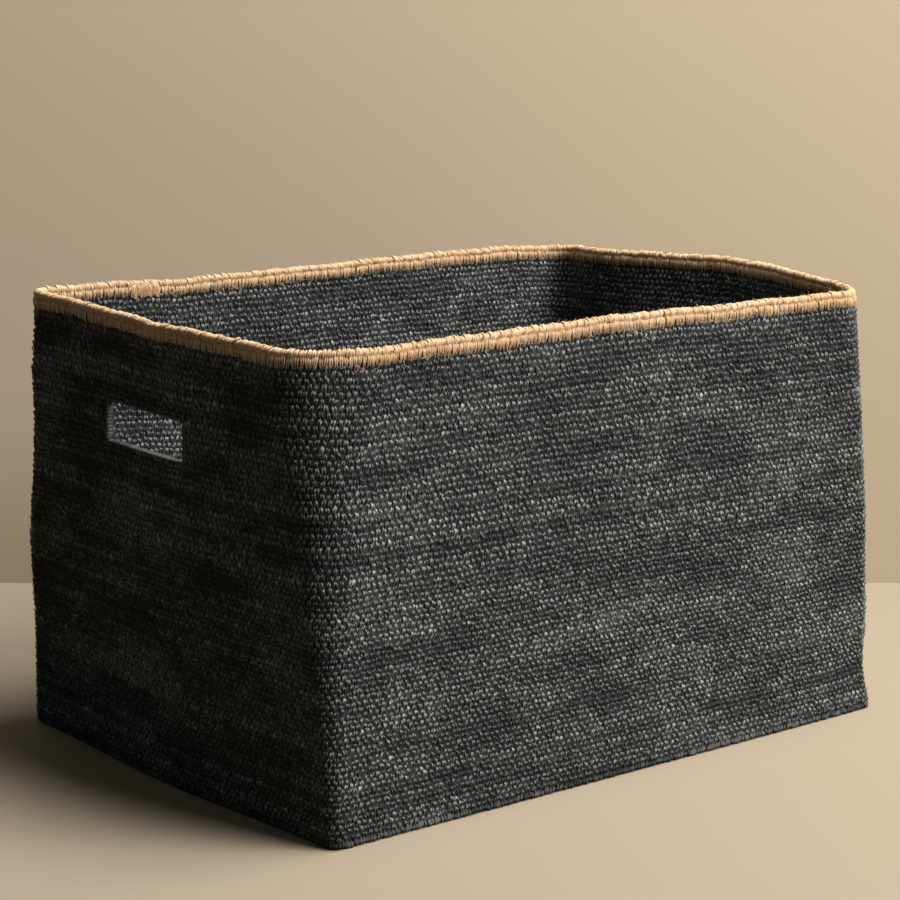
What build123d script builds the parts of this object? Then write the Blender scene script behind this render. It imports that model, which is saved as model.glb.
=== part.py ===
"""Woven storage basket: a soft, nearly upright box of stitched cord rounds with two hand slots.

Units are millimetres. +Z is up, +X runs along the long walls, and the origin is the centre of
the basket's overall footprint on the surface that it stands on.

The basket is one long spiral of stitched rounds. Each band of alike rounds is one closed solid
with the true outer shape, so that the hollow, the two hand slots and the mouth are all open.
"""
import os
from math import cos, pi, radians, sin

from build123d import *

# Overall shape ------------------------------------------------------------------------------
wall = 4.6                # thickness of one stitched round, outside to inside
base_length, base_depth = 506.0, 374.0    # footprint on the floor
rim_length, rim_depth = 510.0, 341.0      # mouth, outside
rim_shift_x, rim_shift_y = 1.0, 3.5       # the mouth's centre, measured from the footprint's
floppiness = 2.0          # how late the stiff lower wall gives way to the soft mouth's shape

# Corner radii in the order front left, front right, back right, back left
base_corners = (8.0, 12.0, 14.0, 12.0)
rim_corners = (60.0, 32.0, 24.0, 18.0)

# Outward bulge of each wall's middle, and the sway that moves it towards one end
base_bulge = {"front": 0.0, "right": 2.0, "back": 0.0, "left": 7.0}
rim_bulge = {"front": -2.0, "right": 26.0, "back": -4.0, "left": 2.0}
rim_sway = {"front": 0.0, "right": 0.0, "back": 0.0, "left": -6.0}

# Rounds, from the floor up ------------------------------------------------------------------
base_thickness = 4.6
seam_gap = 0.1            # between the mat and the stout round about it
edge_round = 5.0          # the stout round where the floor turns up into the wall
fine_round, fine_count = 3.65, 43         # finer, tighter rounds of the lower wall
coarse_round = 4.28       # height of every round above them
middle_count = 15         # from the fine rounds to the hand slots
slot_count = 7            # cut through by the hand slots
upper_count = 12          # from the hand slots to the undyed rim
rim_width = 4.8           # the two undyed rim rounds stand a little proud of the wall
cord_corner = 1.6         # roundness of one stitched round's section
core_size = 2.2           # thickness of the loose grass bundle that the stitches wrap
core_hole = 2.3           # tunnel that the stitches leave for it
core_corner = 0.9

# Hand slots, one in each short wall -----------------------------------------------------------
slot_width, slot_centre_y = 100.0, 17.0
slot_binding = 1.5        # thin strand that edges each slot

# Splice where the last undyed round is finished off -------------------------------------------
splice_x, splice_length = -169.0, 24.0
splice_swell = 1.0

# Worked-out places ----------------------------------------------------------------------------
fine_rounds_top = edge_round + fine_count * fine_round
slot_bottom = fine_rounds_top + middle_count * coarse_round
slot_top = slot_bottom + slot_count * coarse_round
rim_base = slot_top + upper_count * coarse_round
height = rim_base + 2 * coarse_round      # floor to the top of the rim
edge_z = edge_round / 2
edge_inset = edge_round / 2
lower_rim_z = rim_base + coarse_round / 2
upper_rim_z = height - coarse_round / 2
rim_inset = wall / 2
splice_width = rim_width + 2 * splice_swell
splice_depth = coarse_round + 2 * splice_swell
slot_height = slot_top - slot_bottom - 2 * slot_binding
slot_centre_z = (slot_bottom + slot_top) / 2
slot_front_y = slot_centre_y - slot_width / 2 - slot_binding
slot_back_y = slot_centre_y + slot_width / 2 + slot_binding
left_reach = base_length / 2 + base_bulge["left"]
right_reach = rim_length / 2 + rim_shift_x + rim_bulge["right"]
centre_x = (left_reach - right_reach) / 2
far = 2 * base_length     # longer than the basket, for boxes that cut right across it


def between(low, high, share):
    """Value that lies the given share of the way from low to high."""
    return low + (high - low) * share


def wall_line(start, end, outward, bulge, sway):
    """One wall's plan line from corner to corner, with its soft bulge, level at both ends."""
    steps = 8
    points = []
    for i in range(steps + 1):
        share = i / steps
        swell = sin(pi * share) ** 2 * (bulge + sway * sin(2 * pi * share))
        point = start + (end - start) * share + outward * swell
        points.append((point.X, point.Y))
    along = (end - start).normalized()
    Spline(*points, tangents=[(along.X, along.Y), (along.X, along.Y)])


def outline(z, inset):
    """Closed plan line of the basket at height z, moved in from the outside by inset."""
    rise = z / height
    soft = rise ** floppiness
    half_x = between(base_length, rim_length, rise) / 2 - inset
    half_y = between(base_depth, rim_depth, rise) / 2 - inset
    middle_x = centre_x + rim_shift_x * rise
    middle_y = rim_shift_y * rise
    left, right = middle_x - half_x, middle_x + half_x
    front, back = middle_y - half_y, middle_y + half_y
    r_fl, r_fr, r_br, r_bl = (
        between(low, high, soft) - inset for low, high in zip(base_corners, rim_corners)
    )
    bulge = {side: between(base_bulge[side], rim_bulge[side], soft) for side in base_bulge}
    sway = {side: rim_sway[side] * soft for side in rim_sway}
    wall_line(
        Vector(left + r_fl, front), Vector(right - r_fr, front), Vector(0, -1),
        bulge["front"], sway["front"],
    )
    CenterArc((right - r_fr, front + r_fr), r_fr, 270, 90)
    wall_line(
        Vector(right, front + r_fr), Vector(right, back - r_br), Vector(1, 0),
        bulge["right"], sway["right"],
    )
    CenterArc((right - r_br, back - r_br), r_br, 0, 90)
    wall_line(
        Vector(right - r_br, back), Vector(left + r_bl, back), Vector(0, 1),
        bulge["back"], sway["back"],
    )
    CenterArc((left + r_bl, back - r_bl), r_bl, 90, 90)
    wall_line(
        Vector(left, back - r_bl), Vector(left, front + r_fl), Vector(-1, 0),
        bulge["left"], sway["left"],
    )
    CenterArc((left + r_fl, front + r_fl), r_fl, 180, 90)


def level(z, inset):
    """Filled plan of the basket at height z."""
    with BuildSketch(Plane.XY.offset(z)) as plan:
        with BuildLine():
            outline(z, inset)
        make_face()
    return plan.sketch


def band(*heights):
    """Ring of wall rounds that follows the basket's shape through the given heights."""
    loft([level(z, 0) for z in heights], ruled=True)
    loft([level(z, wall) for z in heights], ruled=True, mode=Mode.SUBTRACT)


def lay_round(z, inset, width, depth, corner, mode=Mode.ADD):
    """One closed round, centred at height z and inset into the wall, with softened edges.

    The width lies across the wall and the depth up it. Each edge is rounded in two steps.
    """
    outside, inside = [], []
    for end, turns in ((-1, (90, 45, 0)), (1, (0, 45, 90))):
        for turn in turns:
            drawn_in = width / 2 - corner * (1 - cos(radians(turn)))
            rise = end * (depth / 2 - corner * (1 - sin(radians(turn))))
            outside.append(level(z + rise, inset - drawn_in))
            inside.append(level(z + rise, inset + drawn_in))
    shell = loft(outside, ruled=True, mode=Mode.PRIVATE)
    hollow = loft(inside, ruled=True, mode=Mode.PRIVATE)
    add(shell - hollow, mode=mode)


def slot_box(side, margin, mode):
    """Box through one short wall, larger than the clear hand slot by margin all round."""
    with Locations((side * far / 4, slot_centre_y, slot_centre_z)):
        Box(far / 2 - 1, slot_width + 2 * margin, slot_height + 2 * margin, mode=mode)


# Floor of the basket: a flat mat of stitched rounds --------------------------------------------
with BuildPart() as base_panel:
    loft([level(z, edge_round + seam_gap) for z in (0, base_thickness)], ruled=True)

# Stout round that turns the floor up into the wall, stitched over its own core -----------------
with BuildPart() as base_edge_round:
    lay_round(edge_z, edge_inset, edge_round, edge_round, cord_corner)
    lay_round(edge_z, edge_inset, core_hole, core_hole, core_corner, Mode.SUBTRACT)

with BuildPart() as base_edge_core:
    lay_round(edge_z, edge_inset, core_size, core_size, core_corner)

# Wall: fine rounds below, coarser rounds above --------------------------------------------------
with BuildPart() as lower_wall_rounds:
    band(edge_round, 60, 112, fine_rounds_top)

with BuildPart() as middle_wall_rounds:
    band(fine_rounds_top, 195, slot_bottom)

# The hand slots interrupt these rounds, which leaves a front run and a back run ----------------
with BuildPart() as front_slot_rounds:
    band(slot_bottom, slot_top)
    with Locations((0, slot_front_y + far / 2, slot_centre_z)):
        Box(far, far, far, mode=Mode.SUBTRACT)

with BuildPart() as back_slot_rounds:
    band(slot_bottom, slot_top)
    with Locations((0, slot_back_y - far / 2, slot_centre_z)):
        Box(far, far, far, mode=Mode.SUBTRACT)

with BuildPart() as upper_wall_rounds:
    band(slot_top, 282, rim_base)

# Strand that edges each hand slot ---------------------------------------------------------------
with BuildPart() as left_slot_binding:
    band(slot_bottom, slot_top)
    slot_box(-1, slot_binding, Mode.INTERSECT)
    slot_box(-1, 0, Mode.SUBTRACT)

with BuildPart() as right_slot_binding:
    band(slot_bottom, slot_top)
    slot_box(1, slot_binding, Mode.INTERSECT)
    slot_box(1, 0, Mode.SUBTRACT)

# Two undyed rounds on the mouth, each stitched over its core -------------------------------------
with BuildPart() as lower_rim_round:
    lay_round(lower_rim_z, rim_inset, rim_width, coarse_round, cord_corner)
    lay_round(lower_rim_z, rim_inset, core_hole, core_hole, core_corner, Mode.SUBTRACT)

with BuildPart() as lower_rim_core:
    lay_round(lower_rim_z, rim_inset, core_size, core_size, core_corner)

with BuildPart() as upper_rim_round:
    lay_round(upper_rim_z, rim_inset, rim_width, coarse_round, cord_corner)
    lay_round(upper_rim_z, rim_inset, core_hole, core_hole, core_corner, Mode.SUBTRACT)

with BuildPart() as upper_rim_core:
    lay_round(upper_rim_z, rim_inset, core_size, core_size, core_corner)

# Sleeve of extra wraps over the place where the last round ends -----------------------------------
with BuildPart() as rim_splice:
    lay_round(upper_rim_z, rim_inset, splice_width, splice_depth, cord_corner + splice_swell)
    with Locations((splice_x, base_depth / 2, upper_rim_z + coarse_round)):
        Box(splice_length, base_depth / 2, 3 * coarse_round, mode=Mode.INTERSECT)
    lay_round(upper_rim_z, rim_inset, rim_width, coarse_round, cord_corner, Mode.SUBTRACT)

# Files ------------------------------------------------------------------------------------------
pieces = {
    "base_panel": base_panel,
    "base_edge_round": base_edge_round,
    "base_edge_core": base_edge_core,
    "lower_wall_rounds": lower_wall_rounds,
    "middle_wall_rounds": middle_wall_rounds,
    "front_slot_rounds": front_slot_rounds,
    "back_slot_rounds": back_slot_rounds,
    "upper_wall_rounds": upper_wall_rounds,
    "left_slot_binding": left_slot_binding,
    "right_slot_binding": right_slot_binding,
    "lower_rim_round": lower_rim_round,
    "lower_rim_core": lower_rim_core,
    "upper_rim_round": upper_rim_round,
    "upper_rim_core": upper_rim_core,
    "rim_splice": rim_splice,
}
os.makedirs("parts", exist_ok=True)
for name, piece in pieces.items():
    piece.part.label = name
    export_step(piece.part, f"parts/{name}.step")
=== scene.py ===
"""Soft woven storage basket, stitched round by round, dressed for display.

The basket is one long spiral of stitched grass rounds: a flat mat for the floor, black rounds for
the walls, and two undyed rounds on the mouth. Every stitch is real geometry, laid on the same
shape that the frame's plain bands have. Units are metres, +Z is up, and +X runs along the long
walls.
"""
import logging
import math
from dataclasses import dataclass, field
from enum import Enum
from typing import Callable, Optional

import bpy
import numpy as np
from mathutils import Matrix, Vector


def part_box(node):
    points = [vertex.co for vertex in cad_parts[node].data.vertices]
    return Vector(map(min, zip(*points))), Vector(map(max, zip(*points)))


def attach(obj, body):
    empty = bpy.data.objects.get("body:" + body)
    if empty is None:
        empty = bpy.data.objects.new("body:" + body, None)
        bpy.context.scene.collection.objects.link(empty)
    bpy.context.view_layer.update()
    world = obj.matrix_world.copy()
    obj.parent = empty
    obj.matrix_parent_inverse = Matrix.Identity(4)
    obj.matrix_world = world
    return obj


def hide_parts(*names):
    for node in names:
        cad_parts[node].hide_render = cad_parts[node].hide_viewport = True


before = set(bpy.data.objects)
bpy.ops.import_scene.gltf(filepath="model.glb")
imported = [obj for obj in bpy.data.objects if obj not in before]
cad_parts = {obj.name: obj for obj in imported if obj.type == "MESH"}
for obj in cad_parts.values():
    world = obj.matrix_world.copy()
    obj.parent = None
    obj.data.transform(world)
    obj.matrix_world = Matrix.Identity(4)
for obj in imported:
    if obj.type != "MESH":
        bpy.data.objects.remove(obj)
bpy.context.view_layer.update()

LOG = logging.getLogger("basket")
BODY = "root"
UV_NAME = "OFBake"
MM = 0.001
MAP_FOLDS = 14
SHORT_WALLS_FROM = 0.2
LOWER_RIM_ROW, UPPER_RIM_ROW, SPLICE_ROW, BASE_EDGE_ROW = 100, 104, 106, 110
ACROSS = np.array((-1.0, 0.0, 1.0))
OUTWARD = np.array(((0, -1), (1, 0), (0, 1), (-1, 0)), float)


class Side(Enum):
    """The four walls, in the order that the rounds run past them from the splice."""

    LEFT = "left"
    FRONT = "front"
    RIGHT = "right"
    BACK = "back"


class Face(Enum):
    """The two faces of the wall: its value is the way that the face looks."""

    OUTER = 1
    INNER = -1


class Slot(Enum):
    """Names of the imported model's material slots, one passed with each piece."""

    BLACK = "black_seagrass"
    NATURAL = "natural_seagrass"
    CORE = "grass_core"
    EDGING = "grey_edging"


# ---------------------------------------------------------------------------------------------
# Sums that every part uses
# ---------------------------------------------------------------------------------------------
def each(values: np.ndarray) -> np.ndarray:
    """One value for each strip, ready to spread over the strip's points."""
    return values[:, None, None]


def down(values: np.ndarray) -> np.ndarray:
    """One value for each section down a strip, ready to spread over all the strips' points."""
    return values[None, :, None]


def ease(share: np.ndarray) -> np.ndarray:
    """Turns an even way from 0 to 1 into one that starts and stops gently."""
    return share * share * (3 - 2 * share)


def unit(run: np.ndarray) -> np.ndarray:
    """The same directions, each of length 1."""
    return run / np.linalg.norm(run, axis=-1, keepdims=True)


def beside(run: np.ndarray) -> np.ndarray:
    """Plan directions square to the given ones, on the basket's outer side."""
    return np.stack((run[..., 1], -run[..., 0]), -1)


def centre_and_height(node: str) -> tuple[float, float]:
    """Height of the middle of one of the frame's pieces above the floor, and its own height."""
    low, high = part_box(node)
    return (low.z + high.z) / 2, high.z - low.z


@dataclass
class PlanLine:
    """A closed line in plan, seen from above, that can be measured and walked along."""

    points: np.ndarray

    def __post_init__(self) -> None:
        """Measures the line."""
        self.closed = np.vstack((self.points, self.points[:1]))
        step = np.linalg.norm(self.closed[1:] - self.closed[:-1], axis=1)
        self.along = np.concatenate(((0.0,), np.cumsum(step)))
        self.length = float(self.along[-1])

    def at(self, places: np.ndarray) -> np.ndarray:
        """Points at the given lengths from the line's beginning."""
        places = places % self.length
        return np.stack([np.interp(places, self.along, self.closed[:, k]) for k in range(2)], 1)


# ---------------------------------------------------------------------------------------------
# The basket's form
# ---------------------------------------------------------------------------------------------
def swell(share: np.ndarray, bulge: float, sway: float) -> np.ndarray:
    """Outward bulge along one wall.

    Args:
        share: Way along the wall from corner to corner, 0 to 1.
        bulge: How far the wall's middle stands out.
        sway: How much the bulge moves towards one end.

    Returns:
        The bulge at each place, level at both ends.
    """
    return np.sin(np.pi * share) ** 2 * (bulge + sway * np.sin(2 * np.pi * share))


@dataclass
class BasketForm:
    """The shape that every round follows, read from the frame's base and mouth.

    Corner radii run front left, front right, back right, back left. Bulges run front, right,
    back, left. A dent is (x, y, z, push, reach up and down): a place where the soft wall is
    pushed out or in.
    """

    wall: float = 4.6 * MM
    base_corners: tuple[float, ...] = (8 * MM, 12 * MM, 14 * MM, 12 * MM)
    rim_corners: tuple[float, ...] = (60 * MM, 32 * MM, 24 * MM, 18 * MM)
    base_bulge: tuple[float, ...] = (0.0, 2 * MM, 0.0, 7 * MM)
    rim_bulge: tuple[float, ...] = (-2 * MM, 26 * MM, -4 * MM, 2 * MM)
    rim_sway: tuple[float, ...] = (0.0, 0.0, 0.0, -6 * MM)
    floppiness: float = 2.0
    dents: tuple[tuple[float, float, float, float, float], ...] = (
        (-0.262, 0.175, 0.140, 3.4 * MM, 0.048),
        (-0.262, 0.175, 0.262, 1.6 * MM, 0.030),
        (0.250, -0.185, 0.034, -5.5 * MM, 0.026),
        (0.250, -0.185, 0.095, -2.0 * MM, 0.040),
    )
    dent_reach: float = 60 * MM
    around: int = 1536
    level_step: float = 4 * MM
    height: float = field(init=False)
    base_edges: np.ndarray = field(init=False)
    rim_edges: np.ndarray = field(init=False)
    start: np.ndarray = field(init=False)

    def __post_init__(self) -> None:
        """Reads the footprint, the mouth and the splice from the frame."""
        low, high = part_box("base_edge_round")
        self.base_edges = self._straight_edges(low, high, self.base_bulge, (0.0,) * 4)
        low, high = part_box("upper_rim_round")
        self.rim_edges = self._straight_edges(low, high, self.rim_bulge, self.rim_sway)
        self.height = high.z
        low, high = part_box("rim_splice")
        middle = (low + high) / 2
        self.start = np.array((middle.x, middle.y))
        self.levels = np.arange(-2, int(self.height / self.level_step) + 6) * self.level_step
        self.table = np.stack([self._ring(z) for z in self.levels])
        for x, y, z, push, reach in self.dents:
            self._dent(x, y, z, push, reach)

    def _dent(self, x: float, y: float, z: float, push: float, reach: float) -> None:
        """Pushes the table's points out (or in) about one place."""
        away = np.exp(-(((self.levels - z) / reach) ** 2))[:, None]
        near = ((self.table - (x, y)) ** 2).sum(-1) / self.dent_reach**2
        out = beside(unit(np.roll(self.table, -8, 1) - np.roll(self.table, 8, 1)))
        self.table = self.table + out * (push * away * np.exp(-near))[..., None]

    @staticmethod
    def _straight_edges(
        low: Vector, high: Vector, bulge: tuple[float, ...], sway: tuple[float, ...]
    ) -> np.ndarray:
        """Corner-to-corner edges (front y, right x, back y, left x) inside a bulging box."""
        share = np.linspace(0, 1, 201)
        reach = [max(0.0, swell(share, b, s).max()) for b, s in zip(bulge, sway)]
        return np.array((low.y + reach[0], high.x - reach[1], high.y - reach[2], low.x + reach[3]))

    def outline(self, z: float, inset: float) -> np.ndarray:
        """Closed plan line at one height.

        Args:
            z: Height above the floor.
            inset: How far the line is moved in from the wall's outside.

        Returns:
            Points in order, front wall first, round by the right, back and left walls.
        """
        rise = z / self.height
        soft = max(rise, 0.0) ** self.floppiness
        front, right, back, left = self.base_edges + (self.rim_edges - self.base_edges) * rise
        front, right, back, left = front + inset, right - inset, back - inset, left + inset
        half = min(right - left, back - front) / 2
        radii = [
            min(max(low + (high - low) * soft - inset, 1 * MM), half * 0.98)
            for low, high in zip(self.base_corners, self.rim_corners)
        ]
        fade = max(0.0, 1 - inset / (40 * MM))
        bulges = [(a + (b - a) * soft) * fade for a, b in zip(self.base_bulge, self.rim_bulge)]
        sways = [s * soft * fade for s in self.rim_sway]
        corners = np.array(((left, front), (right, front), (right, back), (left, back)))
        inward = np.array(((1, 1), (-1, 1), (-1, -1), (1, -1)))
        centres = corners + inward * np.array(radii)[:, None]
        share = np.linspace(0, 1, 72, endpoint=False)
        pieces = []
        for i, out in enumerate(OUTWARD):
            after = (i + 1) % 4
            begin = centres[i] + out * radii[i]
            end = centres[after] + out * radii[after]
            bow = swell(share, bulges[i], sways[i])
            pieces.append(begin + (end - begin) * share[:, None] + out * bow[:, None])
            turn = (i - 1) * math.pi / 2 + np.linspace(0, math.pi / 2, 24, endpoint=False)
            pieces.append(centres[after] + radii[after] * np.stack((np.cos(turn), np.sin(turn)), 1))
        return np.concatenate(pieces)

    def _ring(self, z: float) -> np.ndarray:
        """The outside at one height, evenly spaced, starting abreast of the splice."""
        line = PlanLine(self.outline(z, 0.0))
        behind = line.points[:, 1] > 0
        first = np.where(behind, np.abs(line.points[:, 0] - self.start[0]), np.inf).argmin()
        shares = np.linspace(0, 1, self.around, endpoint=False)
        return line.at(line.along[first] + shares * line.length)

    def girth(self, z: float) -> float:
        """Length once round the outside at height z."""
        return PlanLine(self.outline(z, 0.0)).length

    def at(self, u: np.ndarray, z: np.ndarray, out: np.ndarray) -> np.ndarray:
        """Points on the wall.

        Args:
            u: Share of the way round from the splice, any real number.
            z: Height above the floor.
            out: How far outside the wall's outer face, negative for inside it.

        Returns:
            An array of points with one more axis, of length 3.
        """
        column = (u % 1.0) * self.around
        left = np.floor(column).astype(int)
        part = column - left
        row = np.clip((z - self.levels[0]) / self.level_step, 0, len(self.levels) - 1.001)
        low = np.floor(row).astype(int)
        lift = (row - low)[..., None]

        def ring(k: np.ndarray) -> np.ndarray:
            """Plan points of the table's columns, between two levels."""
            k = k % self.around
            return self.table[low, k] * (1 - lift) + self.table[low + 1, k] * lift

        here = ring(left) * (1 - part[..., None]) + ring(left + 1) * part[..., None]
        flat = here + beside(unit(ring(left + 4) - ring(left - 3))) * out[..., None]
        return np.concatenate((flat, z[..., None]), -1)

    def share_at(self, x: float, y: float) -> float:
        """Share of the way round, from the splice, of the mouth's point nearest to (x, y)."""
        ring = self.table[-6]
        return float(((ring - (x, y)) ** 2).sum(1).argmin() / self.around)


@dataclass
class Lie:
    """How the rounds lie on the form: they climb one round per turn, and the soft mouth waves.

    Each wave is (x, y, lift): how far the mouth is lifted there above the even spiral. They run
    round from the splice, past the left, front, right and back walls.
    """

    form: BasketForm
    fine_climb: float = 3.65 * MM
    coarse_climb: float = 4.28 * MM
    change_height: float = 162 * MM
    settle: float = 24 * MM
    waves: tuple[tuple[float, float, float], ...] = (
        (-0.169, 0.17, 3.0 * MM),
        (-0.262, 0.17, 2.4 * MM),
        (-0.262, 0.03, -1.0 * MM),
        (-0.235, -0.14, -3.2 * MM),
        (0.0, -0.17, -1.0 * MM),
        (0.11, -0.17, -2.0 * MM),
        (0.225, -0.165, -3.2 * MM),
        (0.268, -0.09, 2.2 * MM),
        (0.275, 0.0, 2.5 * MM),
        (0.235, 0.165, 0.3 * MM),
        (0.16, 0.17, 4.2 * MM),
        (-0.04, 0.17, 4.4 * MM),
    )
    splice_ease: float = 0.02
    ripple: float = 0.3 * MM

    def __post_init__(self) -> None:
        """Finds how far round each wave is."""
        places = [self.form.share_at(x, y) for x, y, _ in self.waves]
        places[0] = 0.0
        self.places = np.array(places + [1.0])
        self.sizes = np.array([lift for _, _, lift in self.waves] + [self.waves[0][2]])

    def wave(self, turn: np.ndarray) -> np.ndarray:
        """Lift of the mouth, eased from one wave to the next."""
        after = np.clip(np.searchsorted(self.places, turn, "right"), 1, len(self.places) - 1)
        share = (turn - self.places[after - 1]) / (self.places[after] - self.places[after - 1])
        return self.sizes[after - 1] + (self.sizes[after] - self.sizes[after - 1]) * ease(share)

    def rise(self, u: np.ndarray, z: np.ndarray) -> np.ndarray:
        """How far a round at nominal height z is lifted, a share u of the way round."""
        turn = u % 1.0
        up = np.clip(z / self.form.height, 0, 1.1)
        climb = np.where(z < self.change_height, self.fine_climb, self.coarse_climb)
        near_splice = ease(np.clip(np.minimum(turn, 1 - turn) / self.splice_ease, 0, 1))
        lift = (0.5 - turn) * climb * np.clip(z / self.settle, 0, 1) * near_splice
        lift = lift + self.wave(turn) * up**2.5
        ripples = np.sin(turn * 2 * np.pi * 9 + z * 31) + np.sin(turn * 2 * np.pi * 23 - z * 57)
        return lift + self.ripple * ripples * np.minimum(up * 8, 1)


# ---------------------------------------------------------------------------------------------
# Meshes
# ---------------------------------------------------------------------------------------------
@dataclass
class Sheaf:
    """Growing lists of points and faces that become one mesh piece."""

    points: list[np.ndarray] = field(default_factory=list)
    quads: list[np.ndarray] = field(default_factory=list)
    tones: list[np.ndarray] = field(default_factory=list)
    grains: list[np.ndarray] = field(default_factory=list)
    maps: list[np.ndarray] = field(default_factory=list)
    count: int = 0

    def add_strips(
        self,
        points: np.ndarray,
        tone: np.ndarray,
        grain: np.ndarray,
        spot: np.ndarray,
        kept: Optional[np.ndarray] = None,
    ) -> None:
        """Adds many alike strips, each a grid of points.

        Args:
            points: Points, shaped (strips, along, across, 3).
            tone: Shade of each point, shaped (strips, along, across).
            grain: Place in the grass's grain, shaped like points.
            spot: Place on the piece's flat map, shaped (strips, along, across, 2).
            kept: Which of a strip's cells are kept, shaped (along - 1, across - 1).
        """
        strips, along, across = points.shape[:3]
        cell = np.arange(along * across).reshape(along, across)
        quad = np.stack((cell[:-1, :-1], cell[:-1, 1:], cell[1:, 1:], cell[1:, :-1]), -1)
        if kept is not None:
            quad = quad[kept]
        first = self.count + np.arange(strips) * along * across
        self.quads.append((each(first) + quad.reshape(1, -1, 4)).reshape(-1, 4))
        self.points.append(points.reshape(-1, 3))
        self.tones.append(tone.reshape(-1))
        self.grains.append(grain.reshape(-1, 3))
        self.maps.append(spot.reshape(-1, 2))
        self.count += strips * along * across

    def add_dark(
        self, points: np.ndarray, spot: np.ndarray, kept: Optional[np.ndarray] = None
    ) -> None:
        """Adds one sheet, shaped (along, across, 3), that shows dark between the stitches; its fixed
        darkest tone is partly painted shade in the gaps.
        """
        blank = np.zeros((1, *points.shape[:2]))
        # Tone 0 and crown -1 give the grass's darkest colour: the rounds' own black, partly painted
        # shade in the gaps.
        self.add_strips(points[None], blank, np.stack((blank, blank, blank - 1), -1), spot[None], kept)

    def piece(
        self, name: str, material: bpy.types.Material, slot: Slot, *nodes: str
    ) -> bpy.types.Object:
        """Makes the mesh object, dresses it and lets it ride on the basket's body.

        Args:
            name: Name of the piece.
            material: Its finish.
            slot: Its material slot; not used.
            nodes: The frame's pieces that it stands in the place of.

        Returns:
            The object.
        """
        points = np.concatenate(self.points)
        quads = np.concatenate(self.quads)
        mesh = bpy.data.meshes.new(name)
        mesh.vertices.add(len(points))
        mesh.vertices.foreach_set("co", points.astype(np.float32).ravel())
        mesh.loops.add(quads.size)
        mesh.loops.foreach_set("vertex_index", quads.astype(np.int32).ravel())
        mesh.polygons.add(len(quads))
        starts = np.arange(0, quads.size, 4, dtype=np.int32)
        mesh.polygons.foreach_set("loop_start", starts)
        mesh.polygons.foreach_set("use_smooth", np.ones(len(quads), bool))
        tone = mesh.attributes.new("tone", "FLOAT", "POINT")
        tone.data.foreach_set("value", np.concatenate(self.tones).astype(np.float32))
        grain = mesh.attributes.new("grain", "FLOAT_VECTOR", "POINT")
        grain.data.foreach_set("vector", np.concatenate(self.grains).astype(np.float32).ravel())
        spots = np.concatenate(self.maps)
        low, high = spots.min(0), spots.max(0)
        spots = 0.004 + 0.992 * (spots - low) / (high - low)
        layer = mesh.uv_layers.new(name=UV_NAME)
        layer.uv.foreach_set("vector", spots[quads.ravel()].astype(np.float32).ravel())
        mesh.update()
        mesh.validate()
        mesh.materials.append(material)
        thing = bpy.data.objects.new(name, mesh)
        bpy.context.scene.collection.objects.link(thing)
        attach(thing, BODY)
        if nodes:
            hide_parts(*nodes)
        LOG.info("%s: %d points, %d faces", name, len(points), len(quads))
        return thing


@dataclass(frozen=True)
class StitchShape:
    """One stitch, made of two mirrored strands.

    Each section, from a strand's foot to its head, is (height, sideways, half width, outward,
    turn). Height is in round heights from the round's middle, sideways and half width are in
    stitch widths, outward is in millimetres from the wall's outer face, and turn is the tilt of
    the strand's face in degrees: 0 faces outward, 90 faces up, 180 faces inward.
    """

    sections: tuple[tuple[float, float, float, float, float], ...]
    edge_drop: float = 0.7 * MM
    lean: float = 0.10
    # Where up a strand its crown lies, and how far it reaches: the crown gets a painted highlight, the
    # legs painted shade.
    crown_at: float = 0.12
    crown_reach: float = 0.26


WALL_STITCH = StitchShape(
    sections=(
        (-0.98, 0.40, 0.060, -0.75, 0),
        (-0.48, 0.27, 0.085, -0.35, 0),
        (-0.12, 0.17, 0.130, 0.40, 0),
        (0.16, 0.14, 0.145, 0.70, 0),
        (0.44, 0.09, 0.110, -1.00, 0),
    ),
)
LOWER_RIM_STITCH = StitchShape(
    sections=(
        (-1.16, 0.13, 0.070, 0.15, 0),
        (-0.84, 0.15, 0.095, 0.90, 0),
        (-0.52, 0.20, 0.150, 1.05, 0),
        (-0.10, 0.24, 0.215, 1.20, 0),
        (0.24, 0.23, 0.220, 1.00, 0),
        (0.54, 0.21, 0.200, 0.35, 0),
    ),
    edge_drop=0.52 * MM,
    lean=0.05,
    crown_at=-0.05,
    crown_reach=0.5,
)
UPPER_RIM_STITCH = StitchShape(
    sections=(
        (-0.60, 0.25, 0.200, 0.35, 0),
        (-0.26, 0.25, 0.235, 0.80, 0),
        (0.16, 0.23, 0.245, 0.85, 20),
        (0.46, 0.18, 0.240, -0.30, 55),
        (0.60, 0.14, 0.220, -2.35, 90),
        (0.46, 0.18, 0.240, -4.35, 125),
        (0.16, 0.23, 0.245, -5.45, 160),
        (-0.26, 0.25, 0.235, -5.40, 180),
        (-0.60, 0.25, 0.200, -4.95, 180),
    ),
    edge_drop=0.54 * MM,
    lean=0.24,
    # Here the painted crown highlight sits on top of the wrap, which faces the light.
    crown_at=0.5,
    crown_reach=0.35,
)
BASE_EDGE_STITCH = StitchShape(
    sections=(
        (-0.47, 0.26, 0.15, -5.6, -90),
        (-0.48, 0.25, 0.20, -2.4, -90),
        (-0.32, 0.24, 0.20, -0.3, -50),
        (0.05, 0.23, 0.19, 0.35, 0),
        (0.36, 0.23, 0.16, -0.1, 10),
        (0.66, 0.24, 0.09, -1.1, 20),
    ),
    edge_drop=0.6 * MM,
    lean=0.05,
)


@dataclass
class Looseness:
    """How unevenly the stitches are pulled."""

    sideways: float = 0.15
    upward: float = 0.12
    outward: float = 0.24 * MM
    size: float = 0.24
    lean: float = 0.34
    shade: float = 0.36
    strand: float = 0.085


@dataclass
class RoundRun:
    """A stack of alike rounds between two heights."""

    name: str
    node: str
    low: float
    high: float
    count: int

    @property
    def height(self) -> float:
        """Height of one round."""
        return (self.high - self.low) / self.count


Keep = Callable[[np.ndarray, np.ndarray], np.ndarray]


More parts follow.
